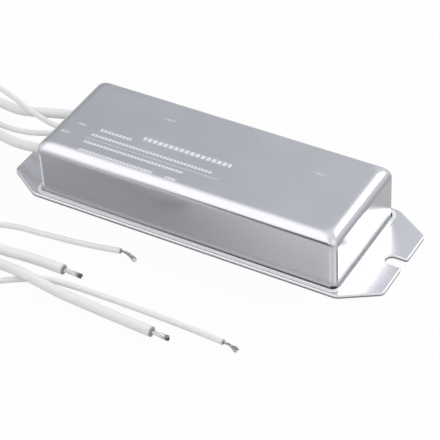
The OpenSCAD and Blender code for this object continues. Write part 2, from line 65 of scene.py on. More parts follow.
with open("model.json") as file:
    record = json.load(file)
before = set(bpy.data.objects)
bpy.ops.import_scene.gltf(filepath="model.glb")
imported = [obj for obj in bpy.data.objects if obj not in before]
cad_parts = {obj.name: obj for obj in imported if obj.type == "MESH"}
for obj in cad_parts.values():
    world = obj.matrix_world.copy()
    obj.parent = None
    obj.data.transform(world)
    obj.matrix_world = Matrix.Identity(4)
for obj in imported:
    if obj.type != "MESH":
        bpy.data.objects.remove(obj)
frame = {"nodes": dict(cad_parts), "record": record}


def corners(node):
    """The lowest and highest corner of a node's box."""
    return [Vector(corner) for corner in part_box(node)]


MM = 0.001
CASE_LOW, CASE_HIGH = corners("housing")
BUSH_LOW, BUSH_HIGH = corners("lead_bush")
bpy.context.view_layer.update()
BODY = "root"


# ---- routes of the free leads

# Each route repeats the points of the part's own source, in millimetres: from the bush to the
# coil, from the coil to the cut end, and along the bared core.
POWER_1_RUN = [
    (-53.2, 9.8, 9.6), (-60, 8.7, 9.1), (-66, 8.2, 8), (-72, 8, 6.5), (-79, 9, 4.4),
    (-87, 11.6, 2.4), (-97, 13.4, 1.6), (-107, 11.6, 1.6), (-116, 4.6, 1.6), (-121.4, -5, 1.6),
    (-123.4, -15, 1.6), (-123.6, -22.9, 1.6),
]
POWER_2_RUN = [
    (-53.2, -9.8, 9.6), (-59, -10.3, 9.2), (-66, -9.2, 7.5), (-72, -7, 5.7), (-78, -4.3, 3.9),
    (-87, -1.7, 2), (-98, -2.2, 1.6), (-108, -6.6, 1.6), (-115.4, -15, 1.6),
]
SWITCH_1_RUN = [
    (-53.2, 1.6, 9.6), (-60, 2.1, 9.4), (-66, 3.8, 9), (-72, 5.8, 8.8), (-79, 9.1, 8.1),
    (-85, 11.8, 7.4), (-92, 14.9, 6), (-101, 18.2, 3), (-111, 18.6, 0.9), (-123, 12.6, 0.9),
    (-132, 0, 0.9), (-135.9, -16, 0.9), (-135.9, -58.1, 0.9),
]
SWITCH_2_RUN = [
    (-53.2, -1.6, 9.6), (-59, -1.9, 9), (-64, -2.2, 7.7), (-70, -1.4, 5.7), (-76, 0.1, 3.8),
    (-83, 2.4, 1.9), (-94, 5.4, 0.9), (-104, 6.6, 1.9), (-111, 6.2, 4), (-117, 4.4, 4.8),
    (-123, 1, 3.6), (-129, -5, 1.5), (-133, -14, 0.9), (-134.1, -28, 0.9), (-134.1, -55.9, 0.9),
]
POWER_1_END = [
    (-94, -52.6, 8), (-86, -52.6, 6.2), (-78, -52.8, 3.6), (-69, -53.4, 1.8), (-60, -54.3, 1.6),
    (-51, -55, 1.7), (-42.4, -55.5, 2.4), (-34.2, -56.8, 3.5), (-26.5, -57.6, 3.1),
    (-19.5, -57.8, 2), (-12, -58, 1.6), (1, -58.8, 1.6), (13, -59.4, 1.6),
]
POWER_2_END = [
    (-95, -49.4, 11.2), (-90, -49.4, 11.2), (-84, -49.4, 10.2), (-77, -49.4, 7), (-70, -49.4, 3.6),
    (-63, -49.4, 1.7), (-47, -49.2, 1.6), (-34.5, -48.3, 1.6), (-24.5, -48.3, 1.6),
]
SWITCH_1_END = [
    (-119.9, -73.9, 6.3), (-112, -73.9, 4.6), (-103, -73.6, 1.9), (-94, -73, 0.9),
    (-65, -70.4, 0.9), (-52, -67.6, 0.9), (-44, -63.6, 0.9), (-34.2, -57.2, 0.9),
    (-27.6, -53.9, 0.9), (-20, -52.8, 0.9), (-9, -52.4, 0.9), (23, -52.7, 0.9), (33, -53.2, 0.9),
]
SWITCH_2_END = [
    (-116.8, -67.4, 8.1), (-114.9, -66.1, 8.1), (-108, -62.2, 6), (-99, -59.4, 2.7),
    (-90, -58.8, 0.9), (-74, -58.8, 1.6), (-67, -57.4, 3.8), (-62.6, -54, 4.6),
    (-60.2, -49.4, 4.6), (-58.4, -44.6, 3), (-55.4, -40.2, 1.3), (-50, -37.9, 0.9),
    (-40.5, -36.8, 0.9), (-24.2, -34.8, 0.9), (-14.2, -32.8, 0.9),
]
POWER_1_BARE = [(13, -59.4, 1.6), (16, -59.55, 1.6), (19, -59.7, 1.6)]
POWER_2_BARE = [(-24.5, -48.3, 1.6), (-21.25, -48.3, 1.6), (-18, -48.3, 1.6)]
SWITCH_1_BARE = [(33, -53.2, 0.9), (35, -53.3, 0.9), (38.4, -54.4, 0.9)]
SWITCH_2_BARE = [(-14.2, -32.8, 0.9), (-13.2, -32.6, 0.9), (-11.2, -32.9, 0.9), (-8, -34.5, 0.9)]
# For each lead: its routes, then its coil's radius in millimetres and the angles in degrees at
# which the coil starts and ends
LEADS = {
    "power_lead_1": (POWER_1_RUN, POWER_1_END, POWER_1_BARE, 18.6, 180, 990),
    "power_lead_2": (POWER_2_RUN, POWER_2_END, POWER_2_BARE, 15.4, 162, 1350),
    "switch_lead_1": (SWITCH_1_RUN, SWITCH_1_END, SWITCH_1_BARE, 9.9, 180, 1350),
    "switch_lead_2": (SWITCH_2_RUN, SWITCH_2_END, SWITCH_2_BARE, 8.1, 180, 1745),
}
# Where each pair of leads is coiled, and the angle in degrees at which its tie stands
COILS = {"power": ((-105 * MM, -34 * MM), 215), "switch": ((-126 * MM, -64 * MM), 225)}
# A coil climbs by one diameter a turn, between these two angles
RISE_FROM, RISE_TO = 20, 85
COIL_STEP = 22.5
# A lead is lifted over its tie, this high and within this many degrees of it
TIE_LIFT, TIE_SPREAD = 0.4 * MM, 40


def metres(points):
    """A route in metres, to the micrometre."""
    return [tuple(round(part * MM, 6) for part in point) for point in points]


# ---- nodes by expression


class Wire:
    """An output of a node tree. Sums on it read as sums and add their own Math nodes."""

    def __init__(self, graph, socket):
        self.graph, self.socket = graph, socket

    def math(self, operation, *others):
        values = dict(enumerate((self, *others)))
        return self.graph.node("ShaderNodeMath", values, operation=operation)

    __add__ = __radd__ = partialmethod(math, "ADD")
    __sub__ = partialmethod(math, "SUBTRACT")
    __mul__ = __rmul__ = partialmethod(math, "MULTIPLY")
    __truediv__ = partialmethod(math, "DIVIDE")
    __pow__ = partialmethod(math, "POWER")
    at_least = partialmethod(math, "MAXIMUM")
    at_most = partialmethod(math, "MINIMUM")
    size = partialmethod(math, "ABSOLUTE")

    def __rsub__(self, other):
        return self.graph.node("ShaderNodeMath", {0: other, 1: self}, operation="SUBTRACT")

    def above(self, low, high):
        """0 up to low, 1 from high on, and smooth between them."""
        values = {"Value": self, "From Min": low, "From Max": high, "To Min": 0.0, "To Max": 1.0}
        return self.graph.node("ShaderNodeMapRange", values, interpolation_type="SMOOTHSTEP")

    def band(self, rise, fall):
        """1 between two values; rise and fall are the pairs that its ends run over."""
        return self.above(*rise) * (1 - self.above(*fall))

    def close_to(self, value, inside, outside):
        """1 up to inside away from value, and 0 from outside on."""
        return 1 - (self - value).size().above(inside, outside)

    def sister(self, name):
        """Another output of the same node."""
        return Wire(self.graph, self.socket.node.outputs[name])

    def part(self, name):
        """One of X, Y or Z."""
        return self.graph.node("ShaderNodeSeparateXYZ", {0: self}, name)

    def parts(self):
        return (self.part(name) for name in "XYZ")


def largest(masks):
    return reduce(Wire.at_least, masks)


class Graph:
    """A node tree that is built by calls."""

    def __init__(self, tree):
        self.tree = tree
        tree.nodes.clear()

    def node(self, kind, values=None, output=0, **settings):
        """Adds a node; its values are for sockets by name or number."""
        made = self.tree.nodes.new(kind)
        for name, value in settings.items():
            setattr(made, name, value)
        for name, value in (values or {}).items():
            if isinstance(value, Wire):
                self.tree.links.new(value.socket, made.inputs[name])
            elif value is not None:
                made.inputs[name].default_value = value
        return Wire(self, made.outputs[output]) if made.outputs else made

    def mix(self, factor, first, second):
        """first where factor is 0, second where it is 1; both are colours."""
        values = {0: factor}
        # The node's colour sockets come after those for numbers and vectors
        for socket, colour in ((6, first), (7, second)):
            values[socket] = (*colour, 1.0) if isinstance(colour, tuple) else colour
        return self.node(
            "ShaderNodeMix", values, 2, data_type="RGBA", blend_type="MIX", clamp_factor=True)


class Finish(Graph):
    """A material under construction."""

    def __init__(self, name):
        self.material = bpy.data.materials.new(name)
        self.material.use_nodes = True
        super().__init__(self.material.node_tree)

    def place(self, scale=1.0, turn=0.0):
        """The piece's own coordinates in millimetres, stretched by scale and turned about Z."""
        scale = scale if isinstance(scale, tuple) else (scale,) * 3
        values = {
            "Vector": self.node("ShaderNodeTexCoord", output="Object"),
            "Rotation": (0.0, 0.0, math.radians(turn)),
            "Scale": tuple(s / MM for s in scale),
        }
        return self.node("ShaderNodeMapping", values, vector_type="POINT")

    def noise(self, place, scale, detail=3.0, roughness=0.55):
        values = {"Vector": place, "Scale": scale, "Detail": detail, "Roughness": roughness}
        return self.node("ShaderNodeTexNoise", values, normalize=True)

    def cells(self, place, scale, output="Distance"):
        values = {"Vector": place, "Scale": scale}
        return self.node("ShaderNodeTexVoronoi", values, output, feature="F1")

    def bump(self, height, strength, distance, normal=None):
        """Normals tipped by a height that runs over distance millimetres."""
        values = {
            "Height": height, "Strength": strength, "Distance": distance * MM, "Normal": normal,
        }
        return self.node("ShaderNodeBump", values)

    def surface(self, **values):
        """Ends the material in one Principled surface; names use _ for a space."""
        sockets = {name.replace("_", " "): value for name, value in values.items()}
        shader = self.node("ShaderNodeBsdfPrincipled", sockets)
        self.node("ShaderNodeOutputMaterial", {"Surface": shader})
        return self.material


# ---- shape helpers


def mesh_of(name, bm):
    mesh = bpy.data.meshes.new(name)
    bm.to_mesh(mesh)
    bm.free()
    return mesh


def linked(name, data):
    """A new object of the scene."""
    made = bpy.data.objects.new(name, data)
    bpy.context.collection.objects.link(made)
    return made


def mesh_piece(name, bm, material, sharp=35.0):
    """Turns bm into a piece of the object: outward faces, smooth but for sharp edges."""
    bmesh.ops.remove_doubles(bm, verts=bm.verts, dist=1e-7)
    bmesh.ops.recalc_face_normals(bm, faces=bm.faces)
    return piece_from(name, mesh_of(name, bm), material, sharp)


def piece_from(name, mesh, material, sharp=35.0):
    """A piece of the object from a mesh; edges sharper than an angle in degrees stay sharp."""
    mesh.materials.clear()
    mesh.materials.append(material)
    mesh.shade_smooth()
    mesh.set_sharp_from_angle(angle=math.radians(sharp))
    piece = linked(name, mesh)
    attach(piece, BODY)
    return piece


def arc(centre, radius, start, end, steps):
    """Points of an arc in the plane, with both ends, angles in degrees."""
    turns = [math.radians(start + (end - start) * i / steps) for i in range(steps + 1)]
    return [(centre[0] + radius * math.cos(t), centre[1] + radius * math.sin(t)) for t in turns]


def circle(centre, radius, steps):
    return arc(centre, radius, 0, 360, steps)[:-1]


def rounded_box(half_x, half_y, radius, steps):
    """Plan of a rectangle with round corners, anticlockwise from its right side."""
    points = []
    for quarter, (sx, sy) in enumerate(((1, 1), (-1, 1), (-1, -1), (1, -1))):
        centre = (sx * (half_x - radius), sy * (half_y - radius))
        points += arc(centre, radius, 90 * quarter, 90 * quarter + 90, steps)
    return points


def stadium(half, radius, steps):
    """A slot's outline with its round ends at half to each side of the middle."""
    return arc((half, 0.0), radius, -90, 90, steps) + arc((-half, 0.0), radius, 90, 270, steps)


def ring_of(bm, points, z):
    return [bm.verts.new((x, y, z)) for x, y in points]


def upright_ring(bm, points, x, middle=0.0):
    """A ring in the plane at x, its points given along Y and Z from a middle height."""
    return [bm.verts.new((x, y, middle + z)) for y, z in points]


def skin(bm, rings):
    """Walls between rings that have as many points each."""
    for lower, upper in zip(rings, rings[1:]):
        for i in range(len(lower)):
            j = (i + 1) % len(lower)
            bm.faces.new((lower[i], lower[j], upper[j], upper[i]))


def sheet_between(bm, outer, *holes):
    """A flat face from the outer ring to the rings of its holes."""
    loops = (outer, *holes)
    verts = [vert for loop in loops for vert in loop]
    for triangle in tessellate_polygon([[vert.co for vert in loop] for loop in loops]):
        bm.faces.new([verts[i] for i in triangle])


def grown(points, distance):
    """A closed outline moved out by distance along its own normals."""
    moved = []
    for before, here, after in zip(points[-1:] + points[:-1], points, points[1:] + points[:1]):
        way = Vector((after[0] - before[0], after[1] - before[1])).normalized()
        moved.append((here[0] + way.y * distance, here[1] - way.x * distance))
    return moved


def baked(piece):
    """The piece's mesh with its modifiers worked in; the piece itself is used up."""
    bpy.context.view_layer.update()
    graph = bpy.context.evaluated_depsgraph_get()
    mesh = bpy.data.meshes.new_from_object(piece.evaluated_get(graph))
    bpy.data.objects.remove(piece)
    return mesh


# ---- finishes


# Rows of plain bars where a resistor carries its rating, as (left, right, middle, height) in mm
PRINT_ROWS = (
    (-37.0, -25.5, -4.9, 1.2), (-22.5, 8.5, -2.6, 1.7), (-38.5, 5.0, -8.0, 1.1),
    (-38.5, -3.0, -11.9, 1.1), (-38.0, -11.5, -15.9, 1.1), (-7.0, -3.2, -15.9, 1.1),
)
# A thin rule between the third and fourth rows
PRINT_RULE = (-39.5, 8.0, -10.0, 0.22)
# Pale rubs on the top, two of them by the lead end, as (x, y, length, width) in mm
RUBS = (
    (-43.7, -4.9, 2.4, 0.7), (-46.5, -10.3, 3.0, 0.8), (-20.0, 9.0, 3.5, 0.5),
    (34.0, 6.0, 3.0, 0.5),
)
# Middle of an upright corner's round and its radius in mm
CORNER_X, CORNER_Y, CORNER_R = 50.0, 17.5, 2.0
# Freshly cut metal, which also paints the highlights up the corners, worn metal, and the painted
# shade at the walls' feet
PALE_EDGE, WORN = (0.95, 0.95, 0.96), (0.86, 0.87, 0.89)
FOOT_SHADE, END_FOOT_SHADE = (0.02, 0.018, 0.02), (0.44, 0.46, 0.45)


def printed_bars(x, y):
    """1 on the bars of each row, which are broken into uneven lengths, and on the rule."""
    rows = []
    for left, right, middle, height in (*PRINT_ROWS, PRINT_RULE):
        along = (x - left).above(0.0, 0.15) * (1 - (x - right).above(-0.15, 0.0))
        row = along * y.close_to(middle, height / 2 - 0.1, height / 2 + 0.05)
        if height > PRINT_RULE[3]:
            step = (x * (0.9 / height) + middle * 3.7).math("FRACT")
            row = row * step.above(0.24, 0.34)
        rows.append(row)
    return largest(rows)


def top_rubs(f, spot, x, y):
    """1 on the ragged pale rubs."""
    ragged = (f.noise(spot, 1.3, 3.0) - 0.5) * 1.6
    return largest([
        1 - (((x - at_x) / length) ** 2.0 + ((y - at_y) / width) ** 2.0 + ragged).above(0.0, 0.6)
        for at_x, at_y, length, width in RUBS
    ])


def aluminium_finish(colour, print_colour):
    """Pressed sheet: satin on top, with painted light and shade on the walls, rubs and pale print.
    """
    f = Finish("pressed aluminium")
    spot = f.place()
    x, y, z = spot.parts()

    def toned(share):
        return tuple(min(1.0, part * share) for part in colour)

    # Bands by height in mm, from the sheared edge of the sheet up to the top
    on_top, near_top = z.above(19.55, 19.85), z.above(18.6, 19.6)
    fillet_up = z.above(15.8, 16.6)
    wall, tall = z.band((2.2, 3.6), (15.8, 18.0)), z.band((2.4, 4.5), (14.0, 17.5))
    drawn, low_wall = z.band((1.4, 1.6), (16.4, 17.4)), z.band((1.4, 1.7), (2.8, 4.4))
    on_land = z.band((1.24, 1.28), (1.36, 1.42))
    on_sheet = 1 - z.above(1.4, 1.6)
    flange = on_sheet * z.above(1.1, 1.18)
    torn, cut_edge = 1 - z.above(0.9, 1.12), z.band((0.6, 0.72), (1.0, 1.14))
    underside = 1 - z.above(0.5, 0.62)

    # How far round an upright corner in radians, from 0 on a long wall to a quarter turn on an
    # end wall, and how far out from the walls in mm
    past_x, past_y = (x.size() - CORNER_X).at_least(0.0), (y.size() - CORNER_Y).at_least(0.0)
    turned = past_x.math("ARCTAN2", past_y)
    out = (past_x * past_x + past_y * past_y).math("SQRT") - CORNER_R
    round_corner, at_end = turned.band((0.02, 0.3), (0.8, 1.3)), turned.above(1.2, 1.5)

    # Painted highlights and a painted dark reflection line up each corner, wider by the lead end
    wide = 0.12 + (1 - x.above(-1.0, 1.0)) * 0.28
    corner_highlights = turned.above(0.02, 0.06) * (1 - (turned - wide).above(0.0, 0.08))
    corner_highlights = corner_highlights.at_least(turned.close_to(0.88, 0.05, 0.13)) * tall
    corner_dark_line = turned.close_to(1.30, 0.08, 0.20) * tall
    # Painted shade in the groove at the walls' feet, thicker towards the right and in the corners
    foot_shade = (1 - (z - 1.34 - round_corner * 0.7 - at_end * 0.5).above(0.0, 0.10))
    foot_shade = foot_shade * z.above(0.95, 1.0) * out.above(-0.1, -0.05)
    foot_shade = foot_shade * (1 - (out - round_corner * 0.15 - at_end * 0.3).above(0.24, 0.36))
    foot_shade = foot_shade * (x.above(-60.0, 40.0) * 0.7 + 0.3) * (1 - at_end * 0.1)
    land_edge = out.close_to(1.76, 0.05, 0.12) * (1 - z.above(1.34, 1.4))
    # A thin painted dark reflection where the long walls turn into the top, clearest towards the
    # right
    fillet_dark_reflection = z.close_to(17.55, 0.12, 0.34) * x.above(5.0, 45.0) * (1 - turned.above(0.2, 0.45))
    end_fillet = at_end * z.band((15.9, 16.7), (17.0, 18.9))
    ball_corner = fillet_up * (1 - on_top) * turned.above(0.05, 0.3) * (1 - at_end)

    grain = f.noise(f.place((0.22, 1.5, 1.5)), 1.0, 4.0)
    cloud = f.noise(f.place((0.05, 0.07, 0.07)), 1.0, 3.0)
    fine = f.noise(spot, 3.2, 3.0, 0.6)
    # Lines that the draw die leaves down the walls, clearest at the upright corners
    lines = (f.noise(f.place((2.0, 2.0, 0.04)), 1.0, 3.0) - 0.5) * wall
    lines = lines * (0.3 + x.size().above(47.5, 51.5) * 1.2)
    # The sheet is never quite flat: a slow swell bends what it mirrors
    swell = f.noise(f.place((0.035, 0.06, 0.06)), 1.0, 1.0)
    scratch = f.noise(f.place((0.30, 8.0, 8.0), 24.0), 1.0, 2.0).above(0.73, 0.79)
    scratch_across = f.noise(f.place((7.0, 0.25, 7.0), -12.0), 1.0, 2.0).above(0.74, 0.80)
    marks = (scratch + scratch_across * 0.7).at_most(1.0)
    specks = (1 - f.cells(spot, 0.20).above(0.03, 0.07)) * f.noise(spot, 0.12).above(0.5, 0.6)
    rubs = top_rubs(f, spot, x, y) * on_top
    bars = printed_bars(x, y) * on_top

    shade = f.mix(
        grain.above(0.25, 0.75) * 0.12 + cloud * 0.5 + fine.above(0.3, 0.7) * 0.3,
        toned(0.93), toned(1.08))
    # Painted light and shade on the walls: darker towards the left and on the end walls, lighter
    # towards the right
    lit_to_right = x.above(-10.0, 45.0) * (1 - turned.above(1.0, 1.5) * 0.8)
    for share, over in (
        # Painted light: the flange and the walls' feet are coloured lighter than the walls
        (on_sheet, toned(1.18)),
        (drawn, f.mix(lit_to_right, toned(0.76), toned(1.08))),
        # Painted shade low on the walls
        (low_wall * 0.55, toned(0.62)),
        # Painted shade on the round edge at the top of each end wall
        (end_fillet * 0.8, toned(0.62)),
        (on_land.at_least(cut_edge), PALE_EDGE),
        # Painted shade on the lower part of the sheared edge, next to the floor
        (underside * 0.85, toned(0.45)),
        # A painted shade line along the step at the land's outer edge
        (land_edge * 0.6, toned(0.4)),
        (fillet_dark_reflection * 0.7, toned(0.25)),
        (corner_highlights * 0.9, PALE_EDGE),
        (corner_dark_line * 0.95, toned(0.12)),
        (foot_shade * 0.95, f.mix(at_end, FOOT_SHADE, END_FOOT_SHADE)),
        (marks * 0.3, toned(1.35)),
        ((specks * 0.6).at_least(rubs * 0.5), WORN),
        (bars * 0.85, print_colour),
    ):
        shade = f.mix(share, shade, over)
    # Smoothest high on the walls, softer towards the foot and on the flange, torn at the edge
    rough = 0.16
    for zone, more in (
        (on_top, 0.14), (wall, 0.09), (near_top, 0.06), (low_wall, 0.12), (flange, 0.11),
        (ball_corner, 0.14), (torn, 0.34), (corner_highlights, 0.2), (foot_shade, 0.3), (cloud - 0.5, 0.10),
        (grain - 0.5, 0.02), (marks, 0.1), (rubs, 0.15),
    ):
        rough = rough + zone * more
    ink_rough = 0.55
    rough = rough + (ink_rough - rough) * bars
    bare = 1.0 - largest([bars * 0.85, rubs * 0.3, on_land * 0.7, foot_shade, corner_highlights * 0.6])
    height = (grain - 0.5) * 0.05 + (fine - 0.5) * (0.025 + on_top * 0.19) - marks * 0.2
    normal = f.bump(lines, 0.5, 0.012, f.bump(height, 0.30, 0.03))
    return f.surface(
        Base_Color=shade, Metallic=bare, Roughness=rough,
        Normal=f.bump(swell, 0.35, 0.6, normal))


def insulation_finish(name, colour, core_colour):
    """Extruded silicone: a little dusty, faintly uneven, warmer where it is thin."""
    f = Finish(name)
    spot = f.place()
    cloud = f.noise(spot, 0.12, 3.0)
    dust = f.noise(spot, 2.2, 4.0, 0.65)
    smudge = f.noise(f.place((0.5, 0.8, 0.8)), 0.5, 3.0).above(0.62, 0.8)
    shade = f.mix(cloud, colour, core_colour)
    shade = f.mix(smudge * 0.18, shade, tuple(c * 0.72 for c in colour))
    return f.surface(
        Base_Color=shade,
        Roughness=0.42 + (dust - 0.5) * 0.2 + smudge * 0.1,
        Normal=f.bump(dust * 0.6 + cloud, 0.18, 0.05),
        Subsurface_Weight=0.12,
        Subsurface_Radius=(1.0, 0.9, 0.7),
        Subsurface_Scale=0.0006,
    )


def lead_coats(leads, where=""):
    """The insulation of the power leads and of the switch leads."""
    return {
        kind: insulation_finish(
            f"{where}{kind} insulation", tuple(getattr(leads, f"{kind}_insulation")), core)
        for kind, core in (("power", (0.865, 0.865, 0.835)), ("switch", (0.86, 0.86, 0.83)))
    }


def metal_finish(name, colour, roughness, grain=(0.4, 3.0, 3.0), dark=0.7, tips=0.0):
    """Plain worked metal with a drawn grain and a little tarnish, and darker tips on strands."""
    f = Finish(name)
    lay = f.noise(f.place(grain), 1.0, 3.0)
    tarnish = f.noise(f.place(), 0.9, 4.0, 0.6).above(0.5, 0.75)
    shade = f.mix(tarnish * 0.5, colour, tuple(c * dark for c in colour))
    if tips:
        along = f.node("ShaderNodeAttribute", output="Fac", attribute_name="along")
        shade = f.mix(along.above(0.66, 0.95) * tips, shade, tuple(c * 0.12 for c in colour))
    return f.surface(
        Base_Color=shade,
        Metallic=1.0,
        Roughness=roughness + (lay - 0.5) * 0.15 + tarnish * 0.12,
        Normal=f.bump(lay, 0.25, 0.02),
    )


def moulded_finish(name, colour, roughness, grain, depth, dark=0.8, sheen=0.0):
    """Moulded, pressed or woven stuff with a fine grain and soft variation of shade."""
    f = Finish(name)
    spot = f.place()
    fine = f.noise(spot, grain, 4.0, 0.6)
    cloud = f.noise(spot, 0.15, 3.0)
    shade = f.mix(fine * 0.5 + cloud * 0.5, colour, tuple(c * dark for c in colour))
    return f.surface(
        Base_Color=shade,
        Roughness=roughness + (fine - 0.5) * 0.15,
        Normal=f.bump(fine, 0.4, depth),
        Sheen_Weight=sheen,
    )


def cement_finish():
    """Set cement filling: sandy, with pinholes, paler where it has been wiped."""
    f = Finish("cement filling")
    spot = f.place()
    sand = f.noise(spot, 3.0, 6.0, 0.7)
    cloud = f.noise(f.place((0.04, 0.09, 0.09)), 1.0, 3.0)
    pits = (1 - f.cells(spot, 0.55).above(0.03, 0.12)) * f.noise(spot, 0.3).above(0.48, 0.6)
    shade = f.mix(cloud.above(0.3, 0.7), (0.30, 0.285, 0.26), (0.43, 0.415, 0.385))
    shade = f.mix(sand.above(0.35, 0.7) * 0.35, shade, (0.55, 0.535, 0.50))
    # Pinholes painted dark: painted shade in them
    shade = f.mix(pits * 0.8, shade, (0.12, 0.11, 0.10))
    return f.surface(
        Base_Color=shade,
        Roughness=0.88 - sand * 0.1,
        Normal=f.bump(sand * 0.7 + cloud * 1.2 - pits * 1.5, 0.6, 0.25),
    )


def mica_finish():
    """Pressed mica board: overlapping silvery flakes in a brown binder."""
    f = Finish("mica board")
    tone = f.cells(f.place(), 0.7, "Color").part("X")
    return f.surface(
        Base_Color=f.mix(tone, (0.42, 0.33, 0.22), (0.62, 0.53, 0.40)),
        Roughness=0.32 + tone * 0.25,
        Normal=f.bump(tone, 0.25, 0.05),
        Coat_Weight=0.2,
    )


# ---- sizes a user would change


class ResistorCase(bpy.types.PropertyGroup):
    """Sizes and colours of the pressed case."""

    sheet: FloatProperty(
        name="Sheet", description="Thickness of the aluminium sheet",
        default=1.2 * MM, min=0.8 * MM, max=2 * MM, unit="LENGTH")
    wall_length: FloatProperty(
        name="Length over walls", description="Length of the pressed hat",
        default=104 * MM, unit="LENGTH")
    wall_width: FloatProperty(
        name="Width over walls", description="Width of the pressed hat",
        default=39 * MM, unit="LENGTH")
    top_radius: FloatProperty(
        name="Top radius", description="Outside radius of the top edges",
        default=3.6 * MM, min=2 * MM, max=5 * MM, unit="LENGTH")
    corner_radius: FloatProperty(
        name="Corner radius", description="Outside radius of the upright corners",
        default=2 * MM, unit="LENGTH")
    foot_radius: FloatProperty(
        name="Foot radius", description="Inside radius between wall and flange",
        default=0.8 * MM, unit="LENGTH")
    ear_width: FloatProperty(
        name="Ear width", description="Width across the end of an ear",
        default=28.6 * MM, unit="LENGTH")
    slot_pitch: FloatProperty(
        name="Slot pitch", description="Distance between the two slots' round ends",
        default=122 * MM, unit="LENGTH")
    slot_width: FloatProperty(
        name="Slot width", description="Width of a mounting slot",
        default=4.2 * MM, unit="LENGTH")
    land_width: FloatProperty(
        name="Land width", description="Width of the raised land round the walls",
        default=1.75 * MM, unit="LENGTH")
    land_height: FloatProperty(
        name="Land height", description="Height of the land above the flange",
        default=0.12 * MM, unit="LENGTH")
    arc_steps: IntProperty(
        name="Arc steps", description="Facets in a quarter of a rounded edge",
        default=14, min=4, max=32)
    metal: FloatVectorProperty(
        name="Metal", description="Colour of the satin aluminium",
        default=(0.62, 0.61, 0.64), size=3, subtype="COLOR", min=0, max=1)
    print_ink: FloatVectorProperty(
        name="Print", description="Colour of the plain printed bars",
        default=(0.82, 0.83, 0.85), size=3, subtype="COLOR", min=0, max=1)


class ResistorLeads(bpy.types.PropertyGroup):
    """Sizes and colours of the free leads."""

    power_diameter: FloatProperty(
        name="Power lead", description="Outside diameter of a power lead",
        default=3.2 * MM, unit="LENGTH")
    switch_diameter: FloatProperty(
        name="Switch lead", description="Outside diameter of a switch lead",
        default=1.8 * MM, unit="LENGTH")
    free_length: FloatProperty(
        name="Free length", description="Length of each lead outside the case",
        default=500 * MM, unit="LENGTH")
    power_strands: IntProperty(
        name="Power strands", description="Strands drawn in a power lead's core", default=12)
    switch_strands: IntProperty(
        name="Switch strands", description="Strands drawn in a switch lead's core", default=9)
    power_insulation: FloatVectorProperty(
        name="Power insulation", description="Colour of the power leads",
        default=(0.89, 0.897, 0.882), size=3, subtype="COLOR", min=0, max=1)
    switch_insulation: FloatVectorProperty(
        name="Switch insulation", description="Colour of the switch leads",
        default=(0.885, 0.89, 0.88), size=3, subtype="COLOR", min=0, max=1)


class ResistorStudio(bpy.types.PropertyGroup):
    """Where the camera stands and its lens."""

    target: FloatVectorProperty(
        name="Target", description="Point on the floor that the camera looks at",
        default=(5.245 * MM, -5.768 * MM, 0.0), size=3, subtype="XYZ")
    azimuth: FloatProperty(
        name="Azimuth", description="Turn of the view from straight on",
        default=math.radians(31.70), subtype="ANGLE")
    elevation: FloatProperty(
        name="Elevation", description="Height of the view above the horizon",
        default=math.radians(40.15), subtype="ANGLE")
    roll: FloatProperty(
        name="Roll", description="Tilt of the camera about its own axis",
        default=math.radians(-3.31), subtype="ANGLE")
    distance: FloatProperty(
        name="Distance", description="From the camera to its target",
        default=586.36 * MM, unit="LENGTH")
    lens: FloatProperty(
        name="Lens", description="Focal length on a 36 mm sensor, in millimetres",
        default=155.87)


# ---- the camera and the leads

SENSOR_WIDTH = 36.0


class RESISTOR_OT_camera(bpy.types.Operator):
    """Puts the camera at the view that the part is shown from"""

    bl_idname = "resistor.camera"
    bl_label = "Camera"

    def execute(self, context):
        studio = context.scene.resistor_studio
        data = bpy.data.cameras.new("camera")
        data.sensor_width, data.lens = SENSOR_WIDTH, studio.lens
        data.clip_start, data.clip_end = 0.01, 20.0
        camera = linked("camera", data)
        level = math.cos(studio.elevation)
        back = Vector((
            math.sin(studio.azimuth) * level,
            -math.cos(studio.azimuth) * level,
            math.sin(studio.elevation),
        ))
        turn = back.to_track_quat("Z", "Y").to_matrix() @ Matrix.Rotation(studio.roll, 3, "Z")
        place = Vector(studio.target) + back * studio.distance
        camera.matrix_world = Matrix.Translation(place) @ turn.to_4x4()
        context.scene.camera = camera
        context.scene.view_settings.view_transform = "Standard"
        return {"FINISHED"}


def coil(centre, radius, start, end, diameter, tie_at):
    """Turns of a coil lying on the floor, each climbing one diameter, lifted over its tie."""
    count = round((end - start) / COIL_STEP)
    points = []
    for i in range(count + 1):
        angle = start + (end - start) * i / count
        level = 0.0
        for turn in range(1, math.ceil(end / 360) + 1):
            done = (angle - RISE_FROM - 360 * turn) / (RISE_TO - RISE_FROM)
            done = min(1.0, max(0.0, done))
            level += done * done * (3 - 2 * done)
        off_tie = abs((angle - tie_at + 180) % 360 - 180)
        lift = TIE_LIFT * max(0.0, 1.0 - (off_tie / TIE_SPREAD) ** 2)
        way = math.radians(angle)
        points.append((
            centre[0] + radius * math.cos(way),
            centre[1] + radius * math.sin(way),
            diameter / 2 + diameter * level + lift,
        ))
    return points


def smooth_line(name, points):
    """A curve object: one open spline through the points."""
    data = bpy.data.curves.new(name, "CURVE")
    data.dimensions = "3D"
    spline = data.splines.new("BEZIER")
    spline.bezier_points.add(len(points) - 1)
    for knot, point in zip(spline.bezier_points, points):
        knot.co = point
        knot.handle_left_type = knot.handle_right_type = "AUTO"
    return linked(name, data)


def lead_curve(name, points, diameter, material):
    """A lead: one open spline with a round section."""
    lead = smooth_line(name, points)
    data = lead.data
    data.resolution_u, data.render_resolution_u = 5, 5
    data.bevel_depth, data.bevel_resolution = diameter / 2, 4
    data.use_fill_caps = True
    data.materials.append(material)
    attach(lead, BODY)
    return lead


# Each strand strays by up to this many radians, and by these shares of its distance from the
# middle of the core and of its spread
STRAY_TURN, STRAY_REACH, STRAY_SPREAD = 0.35, 0.15, 0.7
# The spread grows with this power of the way along
SPREAD_POWER = 2.2
LINE_POINTS, STRAND_SIDES = 28, 7


